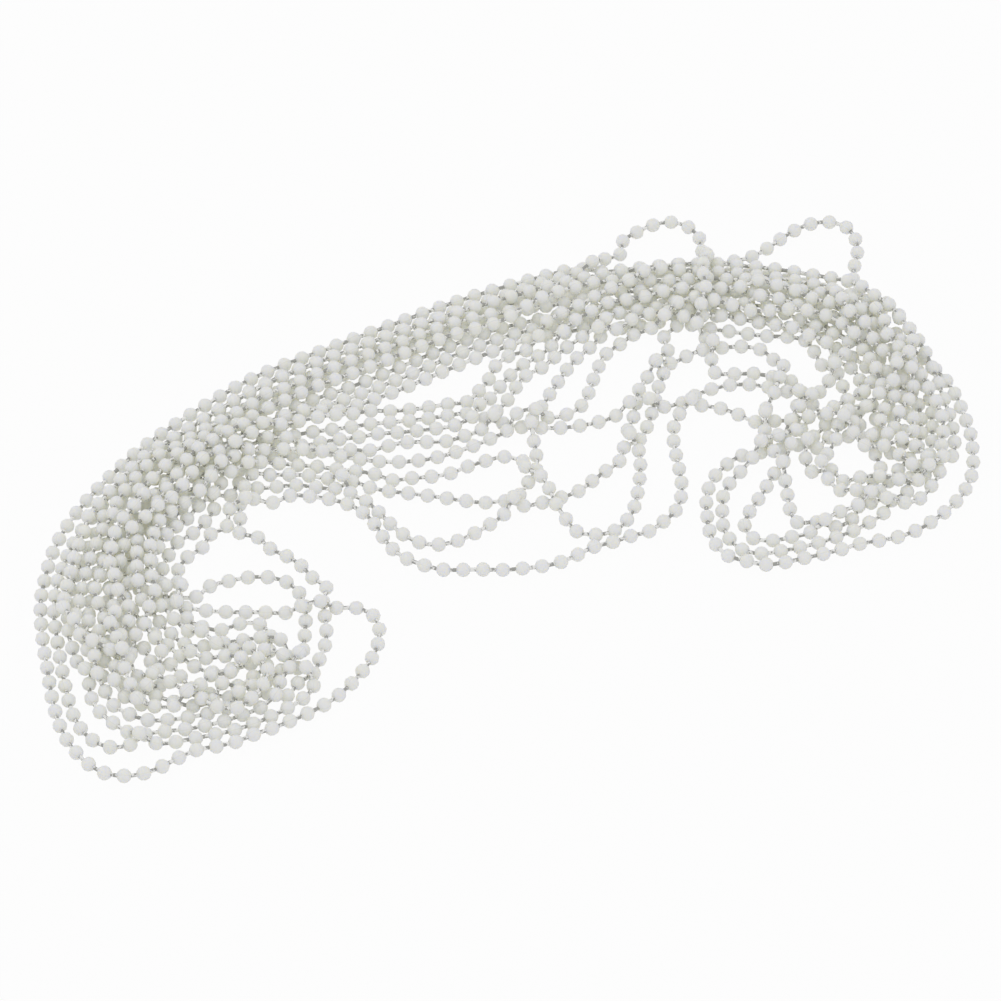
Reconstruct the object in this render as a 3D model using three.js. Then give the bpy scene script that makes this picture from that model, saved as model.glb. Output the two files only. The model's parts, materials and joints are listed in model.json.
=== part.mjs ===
// Hank of plastic bead chain for a roller or vertical blind, lying loose on a table
import * as THREE from "three";

// Chain sizes, in millimetres
const beadDiameter = 4.5;
const beadPitch = 6;
const cordDiameter = 1.2;

// Where other strands cover the chain it is a plain bar this thick
const plainRunDiameter = 1.4;

// Air between beads that lie against each other, and between two lengths of chain
const restGap = 0.3;
const cutGap = 0.3;

// The chain bends until a bead is this many pitches from the next but one
const tightestTurn = 1.25;

// How the chain comes to rest: it sinks a little at each step for the first share of them. Then its links
// may give, so that beads wedged together come clear.
const settleSteps = 1300;
const sinkingShare = 0.7;
const sinkPerStep = 0.012;
const firmLink = 1;
const givingLink = 0.2;

// A bead is covered when it can be seen clearly from no more than so many sides: straight above, and all
// round at half height. Another bead covers it within this many pitches of the line of sight.
const sidesRound = 8;
const fewestSides = 5;
const coverReach = 0.68;
const coverDistance = 3;

// A covered stretch that bends less than this goes without rings on a few beads
const straightLimit = 1;
const mostLeftOut = 1;

// The chain is cut into this many lengths, with three-sided beads turned in step along the cord
const lengthCount = 56;
const ringSides = 3;
const ringTwist = Math.PI / ringSides / 2;

// Fine steps along the route between two of its points
const stepsPerSpan = 200;

const beadRadius = beadDiameter / 2;
const neckRadius = cordDiameter / 2;
const plainRadius = plainRunDiameter / 2;
const beadSpacing = beadDiameter + restGap;

// The thick bundle: its middle line from the lower left end, over the top, to the right end,
// as [x, y, half width]
const bundle = [
  [-122, -90, 15],
  [-121, -66, 17],
  [-120, -41, 17],
  [-117, -21, 16],
  [-109, -4, 15],
  [-97, 8, 15],
  [-84, 21, 15],
  [-68, 38, 15],
  [-50, 45, 15],
  [-30, 58, 11],
  [-12, 69, 10],
  [0, 73, 11],
  [15, 78, 13],
  [30, 83, 13],
  [50, 85, 13],
  [70, 86, 13],
  [88, 82, 14],
  [104, 76, 15],
  [115, 64, 16],
  [121, 48, 18],
  [126, 27, 18],
  [128, 8, 15],
];

// A run along the bundle between two of its points. The side goes from -1, the inner edge, to 1, the outer
// edge, and may change along the run. The height is how far the chain lies above the table.
function along(first, last, sideAtFirst, sideAtLast, height) {
  const step = Math.sign(last - first);
  const count = Math.abs(last - first);
  const points = [];
  for (let i = 0; i <= count; i += 1) {
    const at = first + i * step;
    const side = THREE.MathUtils.lerp(sideAtFirst, sideAtLast, i / count);
    const [x, y, halfWidth] = bundle[at];
    const before = bundle[Math.max(at - 1, 0)];
    const after = bundle[Math.min(at + 1, bundle.length - 1)];
    const length = Math.hypot(after[0] - before[0], after[1] - before[1]);
    const outX = -(after[1] - before[1]) / length;
    const outY = (after[0] - before[0]) / length;
    points.push([x + outX * side * halfWidth, y + outY * side * halfWidth, height]);
  }
  return points;
}

// The chain's route from end to end, in the order in which the chain was laid: points are [x, y, height
// above the table].
const route = [
  { name: "top_run_1", points: [[120, 60, 4], [113, 76, 6], [107, 92, 2], [111, 101, 0], [111, 108, 0]] },
  {
    name: "top_loop_right",
    points: [
      [108, 115, 0], [102, 118, 0], [95, 116, 0], [89, 112, 0], [85, 108, 0], [81, 103, 2], [77, 99, 5],
    ],
  },
  { name: "outer_run_1", points: [...along(15, 2, 0.95, 1, 4)] },
  {
    name: "left_end_outer",
    points: [
      [-141, -58, 2], [-137, -70, 0], [-137, -78, 0], [-135, -90, 0], [-132, -101, 0], [-127, -110, 0],
      [-120, -117, 0], [-113, -119, 0], [-104, -116, 0], [-97, -111, 0], [-90, -106, 0], [-80, -102, 0],
      [-70, -99, 0],
    ],
  },
  {
    name: "lower_loop",
    points: [
      [-60, -94, 0], [-54, -90, 0], [-48, -84, 0], [-44, -78, 0], [-40, -71, 0], [-38, -64, 0],
      [-38, -57, 0], [-41, -51, 0], [-48, -49, 0], [-56, -50, 5], [-63, -54, 5], [-69, -51, 4],
      [-78, -52, 4], [-86, -52, 4], [-97, -51, 4],
    ],
  },
  { name: "left_leg_2", points: [...along(2, 4, -0.8, -0.75, 0)] },
  {
    name: "low_strand_2",
    points: [
      [-92, 1, 0], [-84, 5, 0], [-74, 4, 2], [-62, 2, 0], [-50, 2, 2], [-38, -1, 0], [-28, -2, 0],
      [-18, -4, 0], [-8, -6, 0], [0, -7, 0], [8, -7, 2], [15, -6, 4], [20, -2, 2], [26, 3, 0],
      [31, 8, 0], [36, 14, 0], [39, 20, 2],
    ],
  },
  {
    name: "riser_2",
    points: [
      [43, 28, 0], [45, 33, 0], [47, 41, 0], [48, 48, 0], [49, 55, 2], [50, 61, 0], [51, 67, 0],
      [53, 73, 2],
    ],
  },
  { name: "right_run_2", points: [[62, 80, 5], ...along(16, 20, -0.3, 1, 5)] },
  {
    name: "right_end_outer",
    points: [
      [146, 14, 0], [144, 2, 0], [139, -6, 0], [131, -13, 0], [124, -20, 0], [116, -22, 0],
      [108, -22, 0], [100, -24, 0], [92, -27, 0], [84, -31, 0], [76, -32, 0], [69, -29, 0], [64, -23, 0],
      [62, -14, 0], [61, -4, 0], [63, 4, 0], [68, 11, 0], [76, 16, 0], [86, 17, 0], [95, 20, 0],
    ],
  },
  { name: "inner_run_3", points: [...along(20, 9, -0.9, -0.85, 0)] },
  { name: "inner_run_3_left", points: [...along(8, 2, -0.75, 0.7, 4)] },
  {
    name: "left_end_3",
    points: [
      [-134, -58, 2], [-128, -62, 3], [-121, -64, 4], [-114, -69, 3], [-107, -70, 2], [-101, -72, 2],
      [-96, -77, 2], [-94, -83, 2], [-90, -88, 2], [-83, -89, 2], [-76, -87, 2], [-69, -88, 2],
      [-63, -84, 0], [-58, -77, 0], [-55, -70, 0], [-54, -62, 0], [-54, -55, 0],
    ],
  },
  {
    name: "strand_b",
    points: [
      [-53, -48, 0], [-55, -43, 0], [-58, -38, 4], [-64, -31, 2], [-71, -25, 0], [-79, -17, 0],
      [-83, -9, 0], [-82, -2, 0], [-76, 7, 4], [-66, 8, 4], [-55, 6, 4], [-47, 0, 4], [-40, -8, 4],
    ],
  },
  {
    name: "long_strand_4",
    points: [
      [-34, -17, 3], [-27, -24, 0], [-20, -25, 0], [-14, -23, 0], [-9, -19, 0], [-4, -15, 0],
      [2, -10, 2], [8, -4, 4], [11, 3, 4], [11, 11, 4],
    ],
  },
  {
    name: "riser_4",
    points: [
      [10, 20, 4], [10, 30, 2], [12, 37, 0], [14, 43, 0], [17, 50, 0], [21, 57, 2], [28, 68, 3],
    ],
  },
  { name: "run_4", points: [...along(13, 20, -0.6, 0.5, 4)] },
  {
    name: "right_end_4",
    points: [
      [130, 8, 3], [126, 0, 2], [120, -7, 0], [113, -13, 0], [106, -18, 2], [98, -22, 3], [90, -24, 4],
      [82, -27, 4], [74, -28, 4], [68, -23, 3], [66, -16, 0], [66, -8, 0], [66, -2, 0], [70, 6, 0],
      [76, 12, 3], [84, 16, 5], [92, 25, 5],
    ],
  },
  {
    name: "strand_5",
    points: [
      [94, 36, 3], [91, 44, 0], [85, 48, 3], [78, 49, 0], [71, 49, 0], [66, 49, 0], [64, 54, 0],
      [62, 60, 4], [61, 67, 0], [60, 74, 6], [60, 82, 14], [61, 92, 14],
    ],
  },
  {
    name: "top_loop_left",
    points: [
      [62, 101, 5], [61, 109, 0], [57, 115, 0], [51, 117, 0], [44, 114, 0], [38, 109, 0], [35, 102, 3],
      [31, 94, 6], [22, 90, 6],
    ],
  },
  { name: "outer_run_5", points: [...along(12, 1, 0.7, 0.75, 5)] },
  {
    name: "left_end_5",
    points: [
      [-132, -80, 2], [-130, -92, 2], [-127, -102, 2], [-120, -107, 2], [-112, -108, 2], [-104, -104, 2],
      [-97, -99, 2], [-89, -96, 2], [-80, -93, 2], [-72, -91, 3], [-66, -84, 4], [-61, -76, 4],
      [-59, -68, 4], [-60, -60, 4], [-61, -52, 3],
    ],
  },
  {
    name: "strand_c",
    points: [
      [-61, -45, 0], [-64, -40, 0], [-69, -38, 0], [-75, -37, 0], [-80, -38, 0], [-86, -40, 0],
      [-91, -43, 0], [-97, -47, 0],
    ],
  },
  { name: "left_leg_6", points: [...along(2, 5, -0.5, -0.35, 0)] },
  { name: "run_6", points: [...along(6, 20, -0.2, 0.1, 0)] },
  {
    name: "right_end_6",
    points: [
      [123, 8, 3], [119, -1, 3], [113, -6, 3], [107, -12, 4], [100, -17, 4], [92, -19, 3], [85, -23, 2],
      [78, -24, 0], [71, -19, 0], [71, -14, 0], [74, -9, 0], [78, -4, 0], [83, 2, 0], [84, 10, 3],
      [88, 22, 5],
    ],
  },
  { name: "right_run_7", points: [[98, 40, 5], ...along(18, 10, -0.5, 0.3, 5)] },
  { name: "run_7", points: [...along(9, 1, 0.35, 0.45, 5)] },
  {
    name: "left_end_7",
    points: [
      [-128, -76, 4], [-122, -81, 4], [-113, -86, 4], [-104, -90, 4], [-96, -93, 4], [-88, -93, 4],
      [-80, -88, 5], [-75, -80, 4], [-72, -72, 3], [-70, -63, 3], [-72, -57, 3], [-80, -57, 3],
      [-88, -60, 3], [-96, -57, 4], [-102, -47, 4], [-103, -39, 3],
    ],
  },
  {
    name: "strand_a",
    points: [
      [-99, -32, 0], [-94, -26, 0], [-90, -21, 0], [-86, -16, 0], [-82, -10, 4], [-81, -4, 4],
      [-76, -4, 0],
    ],
  },
  {
    name: "low_strand_8",
    points: [
      [-70, -3, 0], [-64, -1, 0], [-57, -1, 0], [-50, -5, 0], [-44, -9, 0], [-40, -15, 0], [-36, -22, 0],
    ],
  },
  {
    name: "long_strand_8",
    points: [
      [-31, -28, 0], [-22, -33, 0], [-16, -34, 0], [-10, -34, 0], [-4, -34, 0], [2, -34, 0], [8, -33, 0],
      [14, -32, 0], [20, -29, 0], [26, -25, 0], [32, -22, 0], [38, -20, 0], [44, -18, 0], [49, -13, 0],
      [53, -8, 0],
    ],
  },
  {
    name: "riser_8",
    points: [
      [54, -2, 0], [54, 4, 0], [53, 10, 0], [52, 17, 0], [51, 24, 0], [52, 31, 2], [56, 38, 4],
      [62, 43, 0], [68, 46, 3], [76, 46, 5], [84, 45, 5], [91, 40, 4], [97, 34, 4],
    ],
  },
  {
    name: "right_turn_8",
    points: [
      [104, 26, 5], [111, 19, 4], [117, 16, 4], [123, 21, 6], [124, 30, 8],
    ],
  },
  { name: "top_run_9", points: [...along(19, 10, 0.2, 0, 9)] },
  { name: "top_run_9_left", points: [...along(9, 1, 0, 0.1, 8)] },
  {
    name: "left_end_9",
    points: [
      [-122, -84, 4], [-116, -92, 4], [-108, -98, 4], [-99, -99, 4], [-90, -95, 4], [-82, -89, 4],
      [-73, -85, 4], [-67, -78, 4], [-65, -70, 4], [-68, -63, 4], [-76, -62, 4], [-84, -66, 4],
      [-93, -65, 4], [-102, -60, 4],
    ],
  },
  { name: "left_leg_10", points: [...along(2, 5, -0.6, -0.55, 5)] },
  {
    name: "low_run_10",
    points: [
      [-90, 8, 5], [-74, 15, 4], [-60, 13, 3], [-50, 14, 0], [-40, 17, 0], [-30, 20, 0], [-18, 20, 0],
      [-7, 24, 2], [0, 34, 4],
    ],
  },
  {
    name: "riser_10",
    points: [
      [2, 42, 4], [4, 50, 4], [8, 58, 4], [15, 66, 5], ...along(13, 15, -0.8, -0.8, 5),
    ],
  },
  { name: "right_run_10", points: [...along(16, 20, -0.9, -0.5, 5)] },
  {
    name: "right_turn_10",
    points: [
      [116, 8, 3], [113, -2, 2], [107, -11, 2], [99, -17, 2], [91, -18, 2], [87, -11, 2], [86, -3, 0],
      [85, 6, 4], [82, 16, 4], [79, 26, 5], [80, 34, 3],
    ],
  },
  {
    name: "strand_11",
    points: [
      [82, 41, 4], [83, 48, 8], [84, 55, 4], [80, 61, 0], [74, 62, 0], [67, 61, 0], [60, 59, 0],
      [54, 57, 0], [48, 53, 4], [43, 47, 0], [40, 40, 0], [38, 33, 2], [38, 26, 0], [39, 19, 6],
      [41, 12, 0], [41, 5, 0], [40, -3, 0],
    ],
  },
  {
    name: "strand_11_left",
    points: [
      [38, -10, 0], [33, -17, 2], [27, -18, 3], [21, -15, 0], [17, -10, 0], [14, -4, 8], [10, 2, 8],
      [7, 10, 6], [0, 13, 4], [-8, 11, 2],
    ],
  },
  {
    name: "low_run_11",
    points: [
      [-17, 7, 0], [-26, 5, 0], [-36, 5, 0], [-46, 8, 3], [-58, 10, 6], [-70, 10, 6], [-83, 9, 6],
      [-97, 0, 6], [-108, -11, 6],
    ],
  },
  { name: "left_leg_11", points: [...along(3, 1, -0.35, -0.35, 6)] },
  { name: "left_turn_11", points: [[-113, -74, 3], [-117, -79, 3], [-122, -76, 4], [-126, -68, 5]] },
  { name: "left_leg_12", points: [...along(2, 6, 0.3, 0.3, 0)] },
  { name: "run_12", points: [...along(7, 18, 0.3, 0.5, 0)] },
  {
    name: "right_end_12",
    points: [
      [124, 42, 0], [128, 30, 2], [126, 19, 4], [119, 14, 6], [110, 20, 7], [101, 28, 6], [92, 31, 4],
    ],
  },
  {
    name: "strand_13",
    points: [
      [82, 29, 0], [74, 30, 0], [68, 35, 0], [62, 36, 0], [56, 36, 0], [49, 35, 0], [43, 33, 4],
      [37, 32, 6], [30, 29, 0], [22, 27, 0], [14, 26, 0],
    ],
  },
  {
    name: "low_run_13",
    points: [
      [4, 25, 0], [-4, 30, 0], [-14, 30, 3], [-26, 30, 0], [-38, 30, 0], [-50, 30, 2], [-62, 28, 4],
      [-74, 20, 6], [-88, 14, 7], [-102, 3, 8],
    ],
  },
  {
    name: "left_leg_14",
    points: [
      ...along(3, 1, 0, -0.2, 9), [-118, -86, 6], [-112, -93, 6], [-105, -90, 6], [-102, -82, 6],
      [-104, -70, 6], [-107, -56, 8], ...along(2, 5, -0.45, -0.4, 9),
    ],
  },
  {
    name: "low_run_14",
    points: [
      [-87, 14, 8], [-72, 21, 6], [-58, 22, 4], [-46, 23, 3], [-34, 24, 3], [-22, 25, 3], [-12, 27, 4],
      [-5, 35, 4], [-1, 45, 3], [4, 55, 3], [11, 63, 4],
    ],
  },
  {
    name: "right_run_14",
    points: [
      ...along(13, 20, -0.35, 0.5, 9), [134, 10, 6], [131, 2, 5], [125, -2, 4], [117, -3, 3],
      [109, -2, 3], [101, 1, 3], [94, 5, 4], [89, 12, 5], [91, 21, 6], [100, 32, 4],
    ],
  },
  { name: "run_15", points: [...along(19, 17, 0.25, 0.25, 8), ...along(16, 1, 0.25, 0.1, 0)] },
  {
    name: "left_end_15",
    points: [
      [-122, -96, 2], [-115, -106, 2], [-106, -108, 2], [-97, -104, 2], [-88, -101, 2], [-79, -97, 2],
      [-70, -94, 2], [-63, -89, 3], [-58, -82, 3], [-57, -74, 3], [-64, -69, 4], [-72, -72, 5],
      [-80, -76, 5], [-88, -78, 5], [-96, -74, 5], [-103, -66, 4],
    ],
  },
  {
    name: "run_16",
    points: [
      ...along(2, 6, -0.25, -0.4, 2), ...along(7, 20, -0.5, -0.4, 3), [132, 4, 3], [128, -5, 3],
      [121, -9, 3], [113, -8, 3], [105, -5, 3], [98, -1, 4], [93, 6, 5], [96, 16, 6], [105, 28, 7],
    ],
  },
  { name: "top_run_17", points: [...along(19, 1, 0.45, 0.6, 10)] },
  {
    name: "left_end_17",
    points: [
      [-131, -70, 7], [-124, -77, 7], [-114, -80, 7], [-104, -82, 7], [-97, -86, 7], [-92, -92, 6],
      [-84, -94, 6], [-76, -91, 6], [-70, -84, 6], [-69, -76, 6], [-74, -70, 6], [-82, -68, 6],
      [-91, -66, 6], [-100, -58, 6],
    ],
  },
  {
    name: "low_run_18",
    points: [
      ...along(2, 6, -0.2, -0.3, 9), [-70, 26, 7], [-58, 29, 5], [-46, 31, 4], [-36, 32, 3],
      [-26, 33, 1], [-18, 34, 0], [-10, 38, 0], [-6, 46, 0], [-2, 54, 0], [4, 62, 0], [12, 68, 4],
    ],
  },
  {
    name: "right_run_18",
    points: [
      ...along(13, 20, 0, 0.7, 9), [134, 10, 3], [130, 2, 3], [124, 0, 3], [120, 7, 5],
    ],
  },
  {
    name: "run_19",
    points: [
      ...along(19, 14, -0.2, -0.8, 9), [37, 68, 3], [32, 60, 0], [28, 51, 0], [26, 42, 0], [24, 33, 2],
      [17, 29, 4], [8, 30, 5],
    ],
  },
  {
    name: "low_run_19",
    points: [
      [0, 27, 6], [-7, 20, 5], [-15, 15, 4], [-26, 10, 4], [-38, 11, 4], [-50, 12, 6], [-62, 15, 8],
      [-76, 14, 8], [-92, 7, 9], [-105, -7, 9],
    ],
  },
  {
    name: "left_end_19",
    points: [
      ...along(3, 1, -0.3, 0, 9), [-118, -84, 7], [-113, -92, 7], [-106, -96, 7], [-98, -94, 7],
      [-90, -89, 8], [-82, -83, 8], [-78, -76, 8], [-82, -70, 8], [-90, -70, 8], [-98, -72, 8],
    ],
  },
];

// Beads along the route, a pitch apart, each with the run that it belongs to
function beadsAlongRoute() {
  const points = [];
  const owners = [];
  route.forEach((run, number) => {
    run.points.forEach(([x, y, height]) => {
      points.push(new THREE.Vector3(x, y, height + beadRadius));
      owners.push(number);
    });
  });
  const curve = new THREE.CatmullRomCurve3(points, false, "centripetal");
  const beads = [{ place: points[0].clone(), run: owners[0] }];
  const last = points[0].clone();
  const here = new THREE.Vector3();
  const steps = (points.length - 1) * stepsPerSpan;
  for (let i = 1; i <= steps; i += 1) {
    curve.getPoint(i / steps, here);
    if (here.distanceTo(last) < beadPitch) continue;
    last.copy(here);
    beads.push({ place: here.clone(), run: owners[Math.floor(i / stepsPerSpan)] });
  }
  return beads;
}

function pushApart(a, b, distance, share) {
  const gap = b.clone().sub(a);
  const length = gap.length() || 1e-6;
  gap.multiplyScalar((share * (distance - length)) / length / 2);
  a.sub(gap);
  b.add(gap);
}

// The table is divided into cells one bead wide, so that each bead is only compared with those around it
const cellsAcross = 1024;

function cellKey(x, y, z) {
  return (x * cellsAcross + y) * cellsAcross + z;
}

function cellOf(place) {
  return [place.x, place.y, place.z].map((value) => Math.floor(value / beadSpacing + cellsAcross / 2));
}

function cellsOf(places) {
  const cells = new Map();
  places.forEach((place, i) => {
    const key = cellKey(...cellOf(place));
    if (!cells.has(key)) cells.set(key, []);
    cells.get(key).push(i);
  });
  return cells;
}

// Beads that aren't neighbours on the cord keep clear of each other
function keepClear(places) {
  const cells = cellsOf(places);
  places.forEach((place, i) => {
    const [cx, cy, cz] = cellOf(place);
    for (let x = cx - 1; x <= cx + 1; x += 1) {
      for (let y = cy - 1; y <= cy + 1; y += 1) {
        for (let z = cz - 1; z <= cz + 1; z += 1) {
          for (const j of cells.get(cellKey(x, y, z)) ?? []) {
            if (j <= i + 1) continue;
            if (place.distanceTo(places[j]) < beadSpacing) pushApart(place, places[j], beadSpacing, 1);
          }
        }
      }
    }
  });
}

// The chain comes to rest: links keep their length, turns stay open, beads keep clear and lie on the table
function settle(places) {
  for (let step = 0; step < settleSteps; step += 1) {
    const sinking = step < settleSteps * sinkingShare;
    const firmness = sinking ? firmLink : givingLink;
    for (let i = 1; i < places.length; i += 1) pushApart(places[i - 1], places[i], beadPitch, firmness);
    for (let i = 2; i < places.length; i += 1) {
      const open = beadPitch * tightestTurn;
      if (places[i - 2].distanceTo(places[i]) < open) pushApart(places[i - 2], places[i], open, firmness / 2);
    }
    keepClear(places);
    for (const place of places) {
      place.z = Math.max(place.z - (sinking ? sinkPerStep : 0), beadRadius);
    }
  }
}

// One ring of a strand's skin, square to the strand and turned a little from the ring before it
function ringAt(center, direction, radius, turn) {
  const side = new THREE.Vector3(-direction.y, direction.x, 0).normalize();
  const up = side.clone().cross(direction).negate().normalize();
  const ring = [];
  for (let i = 0; i < ringSides; i += 1) {
    const angle = -Math.PI / 2 + turn + (i * 2 * Math.PI) / ringSides;
    ring.push(
      center
        .clone()
        .addScaledVector(side, radius * Math.cos(angle))
        .addScaledVector(up, radius * Math.sin(angle)),
    );
  }
  return ring;
}

function skinOf(rings) {
  const corners = rings.flat().flatMap((point) => [point.x, point.y, point.z]);
  const faces = [];
  for (let r = 0; r + 1 < rings.length; r += 1) {
    for (let i = 0; i < ringSides; i += 1) {
      const a = r * ringSides + i;
      const b = r * ringSides + ((i + 1) % ringSides);
      faces.push(a, b, a + ringSides, b, b + ringSides, a + ringSides);
    }
  }
  for (let i = 1; i + 1 < ringSides; i += 1) {
    const end = (rings.length - 1) * ringSides;
    faces.push(0, i + 1, i, end, end + i, end + i + 1);
  }
  const geometry = new THREE.BufferGeometry();
  geometry.setAttribute("position", new THREE.Float32BufferAttribute(corners, 3));
  geometry.setIndex(faces);
  geometry.computeVertexNormals();
  return geometry;
}

// A strand's first and last ring lie half a cut gap from the middle of the link
function cutPoint(from, to) {
  const middle = from.clone().add(to).multiplyScalar(0.5);
  return middle.addScaledVector(from.clone().sub(to).normalize(), cutGap / 2);
}

function linesOfSight() {
  const lines = [new THREE.Vector3(0, 0, 1)];
  for (let i = 0; i < sidesRound; i += 1) {
    const angle = (i * 2 * Math.PI) / sidesRound;
    lines.push(new THREE.Vector3(Math.sin(angle), -Math.cos(angle), 1).normalize());
  }
  return lines;
}

// Whether the other bead lies in the line of sight to this place
function isCovering(other, place, lineOfSight) {
  const gap = other.clone().sub(place);
  const toward = gap.dot(lineOfSight);
  const aside = gap.addScaledVector(lineOfSight, -toward).length();
  return toward > 0 && aside < beadPitch * coverReach;
}

// Beads that the strands over them cover: the chain is left a plain bar there
function coveredBeads(places) {
  const lines = linesOfSight();
  const covered = places.map((place, i) => {
    const around = places.filter((other, j) => {
      return Math.abs(i - j) > 1 && other.distanceTo(place) < beadPitch * coverDistance;
    });
    const open = lines.filter((line) => !around.some((other) => isCovering(other, place, line)));
    return open.length <= fewestSides;
  });
  return covered.map((under, i) => under || Boolean(covered[i - 1] && covered[i + 1]));
}

function neckRing(places, i, center) {
  const direction = places[i].clone().sub(places[i - 1]).normalize();
  return ringAt(center, direction, neckRadius, (2 * i - 1) * ringTwist);
}

function beadRing(places, i, radius) {
  const before = places[Math.max(i - 1, 0)];
  const after = places[Math.min(i + 1, places.length - 1)];
  return ringAt(places[i], after.clone().sub(before).normalize(), radius, 2 * i * ringTwist);
}

function isStraightAt(places, i) {
  return places[i - 1].clone().lerp(places[i + 1], 0.5).distanceTo(places[i]) < straightLimit;
}

// Where a length of chain has rings, counted in beads: each bead in sight has one, with necks half a link
// either side of it. Covered beads in a straight stretch mostly go without.
function ringStations(places, covered, first, last) {
  const stations = [];
  for (let i = first; i <= last; i += 1) {
    if (i > first && !(covered[i] && covered[i - 1])) stations.push(i - 0.5);
    const inside = i > first && i < last;
    const passedOver = i - stations.at(-1) <= mostLeftOut;
    const leftOut = inside && covered[i] && passedOver && isStraightAt(places, i);
    if (!leftOut) stations.push(i);
  }
  return stations;
}

// The chain's own ends are cut through the cord, half a link past the last bead
function endRing(places, last, beforeLast) {
  const outward = places[last].clone().sub(places[beforeLast]).normalize();
  const center = places[last].clone().addScaledVector(outward, beadPitch / 2);
  const along = last > beforeLast ? outward : outward.clone().negate();
  return ringAt(center, along, neckRadius, (last + beforeLast) * ringTwist);
}

function strandRings(places, covered, first, last) {
  const rings = ringStations(places, covered, first, last).map((station) => {
    const radius = covered[station] ? plainRadius : beadRadius;
    if (Number.isInteger(station)) return beadRing(places, station, radius);
    const i = Math.ceil(station);
    return neckRing(places, i, places[i].clone().lerp(places[i - 1], 0.5));
  });
  const end = last + 1;
  if (first > 0) rings.unshift(neckRing(places, first, cutPoint(places[first], places[first - 1])));
  else rings.unshift(endRing(places, 0, 1));
  if (end < places.length) rings.push(neckRing(places, end, cutPoint(places[last], places[end])));
  else rings.push(endRing(places, last, last - 1));
  return rings;
}

// The chain is cut in the middle of a link into short lengths, named after their runs
function lengthsOf(beads) {
  const used = new Map();
  return Array.from({ length: lengthCount }, (_, number) => {
    const first = Math.round((beads.length * number) / lengthCount);
    const last = Math.round((beads.length * (number + 1)) / lengthCount) - 1;
    const { name } = route[beads[Math.round((first + last) / 2)].run];
    used.set(name, (used.get(name) ?? 0) + 1);
    return { name: used.get(name) > 1 ? name + "_part_" + used.get(name) : name, first, last };
  });
}

const plastic = new THREE.MeshStandardMaterial({ color: 0xf3f1ea, roughness: 0.35 });

function chain() {
  const beads = beadsAlongRoute();
  const places = beads.map((bead) => bead.place);
  settle(places);
  const covered = coveredBeads(places);
  const group = new THREE.Group();
  for (const length of lengthsOf(beads)) {
    const rings = strandRings(places, covered, length.first, length.last);
    const mesh = new THREE.Mesh(skinOf(rings), plastic);
    mesh.name = length.name;
    group.add(mesh);
  }
  return group;
}

// The origin is the middle of the hank's box, on the table
function onOrigin(group) {
  const box = new THREE.Box3().setFromObject(group);
  const middle = box.getCenter(new THREE.Vector3());
  group.children.forEach((mesh) => mesh.geometry.translate(-middle.x, -middle.y, -box.min.z));
  return group;
}

export default onOrigin(chain());
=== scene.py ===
import json
import math
import random

import bmesh
import bpy
from mathutils import Matrix, Vector


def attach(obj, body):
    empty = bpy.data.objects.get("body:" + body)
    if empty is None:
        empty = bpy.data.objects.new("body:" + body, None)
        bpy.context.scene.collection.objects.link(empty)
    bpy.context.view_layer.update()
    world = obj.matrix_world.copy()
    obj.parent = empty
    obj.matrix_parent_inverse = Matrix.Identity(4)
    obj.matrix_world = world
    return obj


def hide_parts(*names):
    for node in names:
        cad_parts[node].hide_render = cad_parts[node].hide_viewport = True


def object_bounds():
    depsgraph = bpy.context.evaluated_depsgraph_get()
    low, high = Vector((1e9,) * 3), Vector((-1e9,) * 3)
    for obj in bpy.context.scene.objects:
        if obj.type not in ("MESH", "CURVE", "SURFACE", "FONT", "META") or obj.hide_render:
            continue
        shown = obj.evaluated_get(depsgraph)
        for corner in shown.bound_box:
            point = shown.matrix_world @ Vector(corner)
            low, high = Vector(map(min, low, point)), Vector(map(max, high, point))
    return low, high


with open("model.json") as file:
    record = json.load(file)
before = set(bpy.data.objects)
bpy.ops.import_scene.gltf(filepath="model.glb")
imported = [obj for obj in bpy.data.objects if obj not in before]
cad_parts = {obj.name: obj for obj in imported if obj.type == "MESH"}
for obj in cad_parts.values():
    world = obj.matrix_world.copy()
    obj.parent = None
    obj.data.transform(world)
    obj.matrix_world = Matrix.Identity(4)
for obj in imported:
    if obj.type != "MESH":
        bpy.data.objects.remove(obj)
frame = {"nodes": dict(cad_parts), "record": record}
cad_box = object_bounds()

# Metres
BEAD_DIAMETER = 0.0045
BEAD_PITCH = 0.006
CORD_DIAMETER = 0.0012
MERGE_DISTANCE = 1e-5

# How finely a bead is divided, how many steps the cord takes from bead to bead, and how many of the CAD's
# lengths of chain one string of beads stands for
BEAD_SEGMENTS = 10
BEAD_RINGS = 6
CORD_STEPS = 3
LENGTHS_PER_STRING = 4

# The photograph's frame in its own pixels, and the place on the table that is seen at HANK_AT_PX
PHOTO_WIDTH = 1001
PX_PER_METRE = 3270
HANK_AT_PX = (505.5, 494.0)
HANK_SHIFT = Vector((-0.0016, 0.0006, 0.0))

# The camera, with its sensor in millimetres
CAMERA_ELEVATION = math.radians(46)
CAMERA_DISTANCE = 2.6
SENSOR = 36.0
CLIP_NEAR, CLIP_FAR = 0.1, 20

# The finishes: colours, and the scale of each noise in steps per metre
BEAD_SHADED, BEAD_PALE = (0.95, 0.955, 0.885, 1), (0.975, 0.975, 0.93, 1)
SEAM_COLOUR = (0.70, 0.69, 0.63, 1)
# The cord's two colours are painted glints: a painted dark reflection and a painted highlight
CORD_GLINT_DARK, CORD_GLINT_BRIGHT = (0.42, 0.42, 0.40, 1), (1.0, 1.0, 0.99, 1)
TABLE_COLOUR = (0.8, 0.8, 0.8, 1)
CLOUD_SCALE = 220.0
GRAIN_SCALE = 1800.0
# The size of the cord's painted glints
GLINT_SCALE = 900.0
BUMP_DEPTH = 0.0001

# The table reaches this far each way, and lies this much below the hank
TABLE_REACH = 3
TABLE_DROP = 0.0001
TABLE_GLOW, TABLE_GLOW_SEEN = 0.25, 0.7

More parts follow.
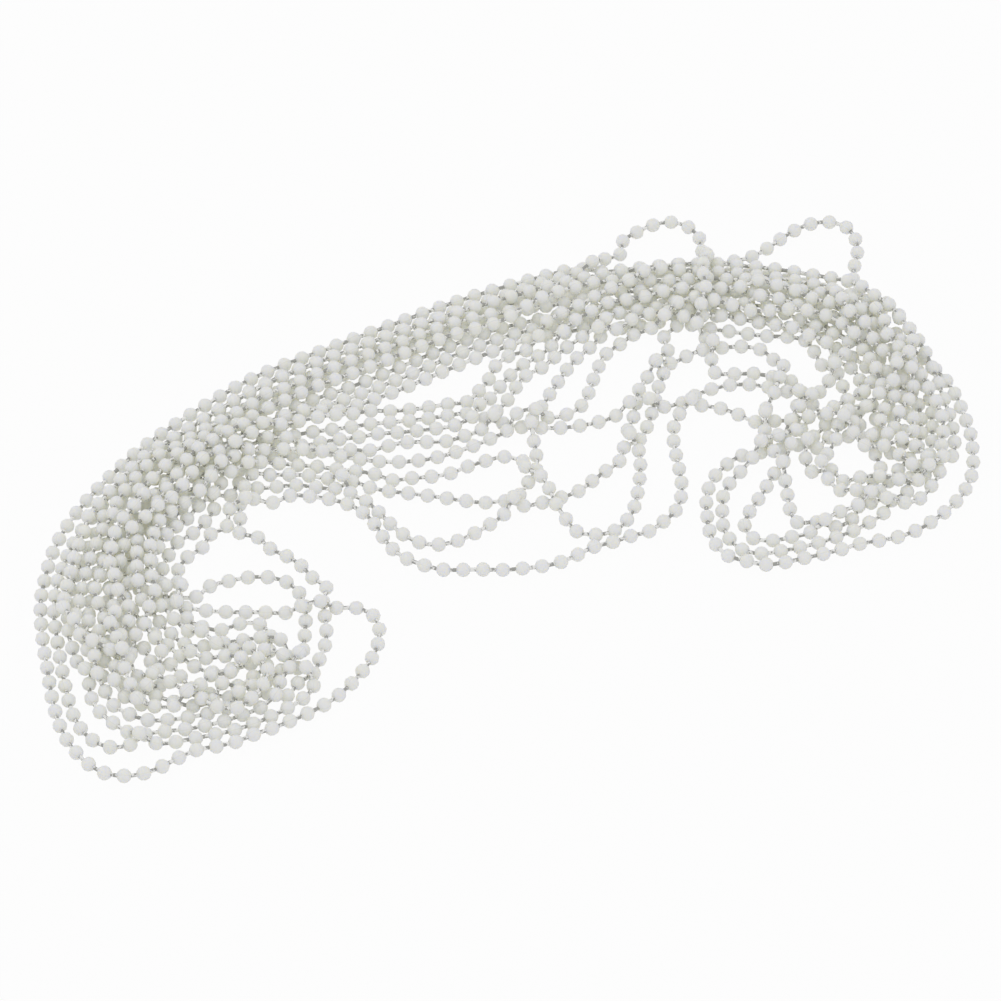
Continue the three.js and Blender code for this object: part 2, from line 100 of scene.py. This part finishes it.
# The studio: how bright the walls are and look, the lamps' places, sizes and watts, and the light's bounces
WALLS, WALLS_SEEN = 0.7, 0.3
KEY_LAMP = ((-0.5, 0.35, 1.1), 0.7, 1.2)
FILL_LAMP = ((0.8, -0.9, 0.9), 1.0, 0.6)
BOUNCES = 16

CAD_LENGTHS = [part["node"] for part in frame["record"]["subparts"]]


def make_camera():
    """A long lens at the photograph's height, aimed where the photograph is centred."""
    back = Vector((0, -math.cos(CAMERA_ELEVATION), math.sin(CAMERA_ELEVATION)))
    up = Vector((0, math.sin(CAMERA_ELEVATION), math.cos(CAMERA_ELEVATION)))
    right = Vector((1, 0, 0))
    middle = PHOTO_WIDTH / 2
    aim = HANK_SHIFT + right * (middle - HANK_AT_PX[0]) / PX_PER_METRE
    aim += up * (HANK_AT_PX[1] - middle) / PX_PER_METRE
    lens = bpy.data.cameras.new("camera")
    lens.sensor_width = SENSOR
    lens.lens = SENSOR * CAMERA_DISTANCE * PX_PER_METRE / PHOTO_WIDTH
    lens.clip_start, lens.clip_end = CLIP_NEAR, CLIP_FAR
    camera = bpy.data.objects.new("camera", lens)
    camera.location = aim + back * CAMERA_DISTANCE
    camera.rotation_mode = "QUATERNION"
    camera.rotation_quaternion = (-back).to_track_quat("-Z", "Y")
    bpy.context.scene.collection.objects.link(camera)
    bpy.context.scene.camera = camera


def next_ring(ring, seen):
    """The corners that a ring's corners reach beyond those already seen."""
    return list({e.other_vert(v) for v in ring for e in v.link_edges} - seen)


def rings_of(length):
    """The middles of the rings of one CAD length of chain, from one end to the other."""
    bm = bmesh.new()
    bm.from_mesh(frame["nodes"][length].data)
    bmesh.ops.remove_doubles(bm, verts=bm.verts, dist=MERGE_DISTANCE)
    ends = [f for f in bm.faces if len(next_ring(f.verts, set(f.verts))) == 3]
    ring, seen, middles = list(ends[0].verts), set(), []
    while ring:
        seen.update(ring)
        middles.append(sum((v.co for v in ring), Vector()) / len(ring))
        ring = next_ring(ring, seen)
    bm.free()
    return middles


def gap(rings, others):
    """How near the end of one length is to either end of another."""
    return min((rings[-1] - others[0]).length, (rings[-1] - others[-1]).length)


def known_places():
    """Places along the chain by twice the bead's number, so that a link's middle is odd."""
    lengths = [rings_of(length) for length in CAD_LENGTHS]
    if gap(lengths[0][::-1], lengths[1]) < gap(lengths[0], lengths[1]):
        lengths[0].reverse()
    known, number = {}, -2
    for before, rings in zip([None] + lengths, lengths):
        if before and (rings[-1] - before[-1]).length < (rings[0] - before[-1]).length:
            rings.reverse()
        number += 2
        inner = rings[1:-1]
        known[number] = inner[0]
        for a, b in zip(inner, inner[1:]):
            number += round((b - a).length / BEAD_PITCH * 2)
            known[number] = b
    return known


def between(known, keys, i, at):
    """A place on the smooth line through the known places around it."""
    a, b = keys[i], keys[i + 1]
    pa, pb = known[a], known[b]
    before, after = keys[max(i - 1, 0)], keys[min(i + 2, len(keys) - 1)]
    leaving = (pb - known[before]) / (b - before)
    arriving = (known[after] - pa) / (after - a)
    span, t = b - a, (at - a) / (b - a)
    return (
        pa * (2 * t**3 - 3 * t**2 + 1)
        + leaving * span * (t**3 - 2 * t**2 + t)
        + pb * (3 * t**2 - 2 * t**3)
        + arriving * span * (t**3 - t**2)
    )


def bead_places():
    """The middle of every bead along the chain, whether the CAD shows it as a bead or not."""
    known = known_places()
    keys = sorted(known)
    places, i = [], 0
    for at in range(0, keys[-1] + 1, 2):
        while i + 2 < len(keys) and keys[i + 1] <= at:
            i += 1
        places.append(known[at] if at in known else between(known, keys, i, at))
    return [inside_box(p) for p in places]


def inside_box(place):
    """The same place, kept far enough in for its bead to stay in the part's own box."""
    low, high = cad_box
    r = BEAD_DIAMETER / 2
    return Vector(min(max(p, a + r), b - r) for p, a, b in zip(place, low, high))


def make_cord(places, material):
    """One thin cord through all the beads, cut off half a link past the last one at each end."""
    first = places[0] + (places[0] - places[1]) / 2
    last = places[-1] + (places[-1] - places[-2]) / 2
    stops = [first, *places, last]
    line = bpy.data.curves.new("cord", "CURVE")
    line.dimensions = "3D"
    line.bevel_depth = CORD_DIAMETER / 2
    line.bevel_resolution = 2
    line.use_fill_caps = True
    known = dict(enumerate(stops))
    keys = list(known)
    points = [
        between(known, keys, i, i + step / CORD_STEPS)
        for i in range(len(stops) - 1)
        for step in range(CORD_STEPS)
    ]
    points.append(last)
    spline = line.splines.new("POLY")
    spline.points.add(len(points) - 1)
    for point, place in zip(spline.points, points):
        point.co = (*place, 1)
    spline.use_smooth = True
    cord = bpy.data.objects.new("cord", line)
    bpy.context.scene.collection.objects.link(cord)
    cord.data.materials.append(material)
    length = sum((b - a).length for a, b in zip(points, points[1:]))
    return cord, first, length


def turned(place, along, roll):
    """A bead's own axes: its poles on the cord, rolled round it."""
    poles = along.to_track_quat("Z", "Y").to_matrix().to_4x4()
    return Matrix.Translation(place) @ poles @ Matrix.Rotation(roll, 4, "Z")


def bead_shape():
    """One round bead at the origin with its poles up and down."""
    bm = bmesh.new()
    bm.loops.layers.uv.new("UVMap")
    bmesh.ops.create_uvsphere(
        bm,
        u_segments=BEAD_SEGMENTS,
        v_segments=BEAD_RINGS,
        radius=BEAD_DIAMETER / 2,
        calc_uvs=True,
    )
    for f in bm.faces:
        f.smooth = True
    mesh = bpy.data.meshes.new("bead")
    bm.to_mesh(mesh)
    bm.free()
    return mesh


def make_string(name, numbers, places, shape, material):
    """One mesh of round beads along a stretch of the chain, each with a tone of its own."""
    bm = bmesh.new()
    tones = []
    for n in numbers:
        dice = random.Random(n)
        along = places[min(n + 1, len(places) - 1)] - places[max(n - 1, 0)]
        bead = shape.copy()
        bead.transform(turned(places[n], along, dice.uniform(0, math.tau)))
        bm.from_mesh(bead)
        bpy.data.meshes.remove(bead)
        tones.append(dice.random())
    tone = bm.verts.layers.float.new("tone")
    corners = len(shape.vertices)
    for i, v in enumerate(bm.verts):
        v[tone] = tones[i // corners]
    mesh = bpy.data.meshes.new(name)
    bm.to_mesh(mesh)
    bm.free()
    mesh.materials.append(material)
    string = bpy.data.objects.new(name, mesh)
    bpy.context.scene.collection.objects.link(string)
    return string


class Wire:
    """A shader socket, or a number, that takes Python's own operators."""

    tree = None

    def __init__(self, socket):
        self.socket = socket

    @staticmethod
    def node(kind, settings=(), **inputs):
        """A node of that type, with its settings made first, then its inputs."""
        made = Wire.tree.nodes.new(kind)
        for key, value in dict(settings).items():
            setattr(made, key, value)
        for key, value in inputs.items():
            Wire.feed(value, made.inputs[key.replace("_", " ")])
        return made

    @staticmethod
    def feed(value, socket):
        if isinstance(value, Wire):
            Wire.tree.links.new(value.socket, socket)
        else:
            socket.default_value = value

    @staticmethod
    def maths(operation, *values):
        made = Wire.node("ShaderNodeMath", {"operation": operation})
        for value, socket in zip(values, made.inputs):
            Wire.feed(value, socket)
        return Wire(made.outputs[0])

    def __add__(self, other):
        return Wire.maths("ADD", self, other)

    def __sub__(self, other):
        return Wire.maths("SUBTRACT", self, other)

    def __rsub__(self, other):
        return Wire.maths("SUBTRACT", other, self)

    def __mul__(self, other):
        return Wire.maths("MULTIPLY", self, other)

    def __abs__(self):
        return Wire.maths("ABSOLUTE", self)

    __radd__ = __add__
    __rmul__ = __mul__

    def within(self, low, high):
        """0 below low, 1 above high, and smooth between."""
        settings = {"interpolation_type": "SMOOTHSTEP"}
        made = Wire.node("ShaderNodeMapRange", settings, Value=self, From_Min=low, From_Max=high)
        return Wire(made.outputs[0])


def material(name):
    """An empty material with one shader, ready for its nodes."""
    made = bpy.data.materials.new(name)
    made.use_nodes = True
    Wire.tree = made.node_tree
    return made, made.node_tree.nodes["Principled BSDF"]


def mix_colour(factor, a, b):
    made = Wire.node("ShaderNodeMix", {"data_type": "RGBA"}, Factor=factor)
    Wire.feed(a, made.inputs[6])
    Wire.feed(b, made.inputs[7])
    return Wire(made.outputs[2])


def noise(where, scale, detail=2.0):
    made = Wire.node("ShaderNodeTexNoise", Vector=where, Scale=scale, Detail=detail)
    return Wire(made.outputs[0])


def bead_plastic():
    """Warm white translucent plastic, softly glossy, with a fine grain and a mould seam over the poles."""
    made, shader = material("bead_plastic")
    coords = Wire.node("ShaderNodeTexCoord")
    where = Wire(coords.outputs["Object"])
    split = Wire.node("ShaderNodeSeparateXYZ", Vector=Wire(coords.outputs["UV"]))
    round_it = Wire(split.outputs[0])
    tone = Wire(Wire.node("ShaderNodeAttribute", {"attribute_name": "tone"}).outputs["Fac"])
    from_seam = abs(Wire.maths("FRACT", round_it * 2 + 0.5) - 0.5)
    seam = 1 - from_seam.within(0.012, 0.035)
    cloud = noise(where, CLOUD_SCALE)
    shade = (tone * 0.6 + cloud * 0.4).within(0.15, 0.85)
    colour = mix_colour(shade, BEAD_SHADED, BEAD_PALE)
    Wire.feed(mix_colour(seam * 0.25, colour, SEAM_COLOUR), shader.inputs["Base Color"])
    grain = noise(where, GRAIN_SCALE, 3.0)
    Wire.feed(0.30 + grain * 0.14 + seam * 0.08, shader.inputs["Roughness"])
    relief = seam * 0.6 + grain * 0.12
    bump = Wire.node("ShaderNodeBump", Height=relief, Strength=0.35, Distance=BUMP_DEPTH)
    Wire.feed(Wire(bump.outputs[0]), shader.inputs["Normal"])
    shader.inputs["IOR"].default_value = 1.48
    shader.inputs["Subsurface Weight"].default_value = 1.0
    shader.inputs["Subsurface Scale"].default_value = 0.003
    shader.inputs["Subsurface Radius"].default_value = (1.0, 0.95, 0.8)
    return made


def cord_with_painted_glints():
    """Slick pale cord with painted glints: painted highlights and painted dark reflections in short dashes.
    """
    made, shader = material("cord_with_painted_glints")
    coords = Wire.node("ShaderNodeTexCoord")
    where = Wire(coords.outputs["Object"])
    # Painted glints: short dashes of painted highlight and painted dark reflection, which also set the
    # cord's roughness and bump
    painted_glints = noise(where, GLINT_SCALE, 1.0).within(0.42, 0.58)
    Wire.feed(mix_colour(painted_glints, CORD_GLINT_DARK, CORD_GLINT_BRIGHT), shader.inputs["Base Color"])
    Wire.feed(0.18 + painted_glints * 0.15, shader.inputs["Roughness"])
    bump = Wire.node("ShaderNodeBump", Height=painted_glints, Strength=0.4, Distance=BUMP_DEPTH)
    Wire.feed(Wire(bump.outputs[0]), shader.inputs["Normal"])
    return made


def make_table():
    """A white table that glows a little, and more in the camera's view, so that shadows on it stay faint."""
    bm = bmesh.new()
    bmesh.ops.create_grid(bm, x_segments=1, y_segments=1, size=TABLE_REACH)
    bmesh.ops.translate(bm, verts=bm.verts, vec=(0, 0, -TABLE_DROP))
    mesh = bpy.data.meshes.new("table")
    bm.to_mesh(mesh)
    bm.free()
    table = bpy.data.objects.new("table", mesh)
    bpy.context.scene.collection.objects.link(table)
    made, shader = material("white_table")
    shader.inputs["Base Color"].default_value = TABLE_COLOUR
    shader.inputs["Roughness"].default_value = 0.7
    path = Wire.node("ShaderNodeLightPath")
    glow = Wire.node("ShaderNodeEmission", Color=(1, 1, 1, 1), Strength=1.0)
    share = Wire(path.outputs["Is Camera Ray"]) * TABLE_GLOW_SEEN + TABLE_GLOW
    mixed = Wire.node("ShaderNodeMixShader", Fac=share)
    Wire.feed(Wire(shader.outputs[0]), mixed.inputs[1])
    Wire.feed(Wire(glow.outputs[0]), mixed.inputs[2])
    output = next(n for n in made.node_tree.nodes if n.type == "OUTPUT_MATERIAL")
    Wire.feed(Wire(mixed.outputs[0]), output.inputs[0])
    mesh.materials.append(made)


def soft_lamp(name, place, size, energy):
    """A square softbox aimed at the hank."""
    data = bpy.data.lights.new(name, "AREA")
    data.size, data.energy = size, energy
    lamp = bpy.data.objects.new(name, data)
    lamp.location = place
    lamp.rotation_mode = "QUATERNION"
    lamp.rotation_quaternion = (-Vector(place)).to_track_quat("-Z", "Y")
    bpy.context.scene.collection.objects.link(lamp)


def light_studio():
    """Even white walls all round, a weak key lamp from the back left and a weaker fill from the front."""
    world = bpy.data.worlds.new("studio")
    bpy.context.scene.world = world
    world.use_nodes = True
    Wire.tree = world.node_tree
    path = Wire.node("ShaderNodeLightPath")
    rays = (Wire(path.outputs["Is Camera Ray"]), Wire(path.outputs["Is Transmission Ray"]))
    seen = Wire.maths("MAXIMUM", *rays)
    sky = next(n for n in world.node_tree.nodes if n.type == "BACKGROUND")
    sky.inputs["Color"].default_value = (1, 1, 1, 1)
    Wire.feed(seen * WALLS_SEEN + WALLS, sky.inputs["Strength"])
    soft_lamp("key", *KEY_LAMP)
    soft_lamp("fill", *FILL_LAMP)


def main():
    make_camera()
    places = bead_places()
    plastic, glint_painted_cord, shape = bead_plastic(), cord_with_painted_glints(), bead_shape()
    cord, first, length = make_cord(places, glint_painted_cord)
    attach(cord, "root")
    for k in range(0, len(CAD_LENGTHS), LENGTHS_PER_STRING):
        after = min(k + LENGTHS_PER_STRING, len(CAD_LENGTHS))
        low = round(len(places) * k / len(CAD_LENGTHS))
        high = round(len(places) * after / len(CAD_LENGTHS))
        name = "beads_" + str(k // LENGTHS_PER_STRING + 1)
        string = make_string(name, range(low, high), places, shape, plastic)
        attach(string, "root")
        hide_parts(*CAD_LENGTHS[k:after])
    make_table()
    light_studio()
    bpy.context.scene.cycles.max_bounces = BOUNCES
    bpy.context.scene.cycles.diffuse_bounces = BOUNCES
    bpy.context.scene.view_settings.view_transform = "Standard"


main()
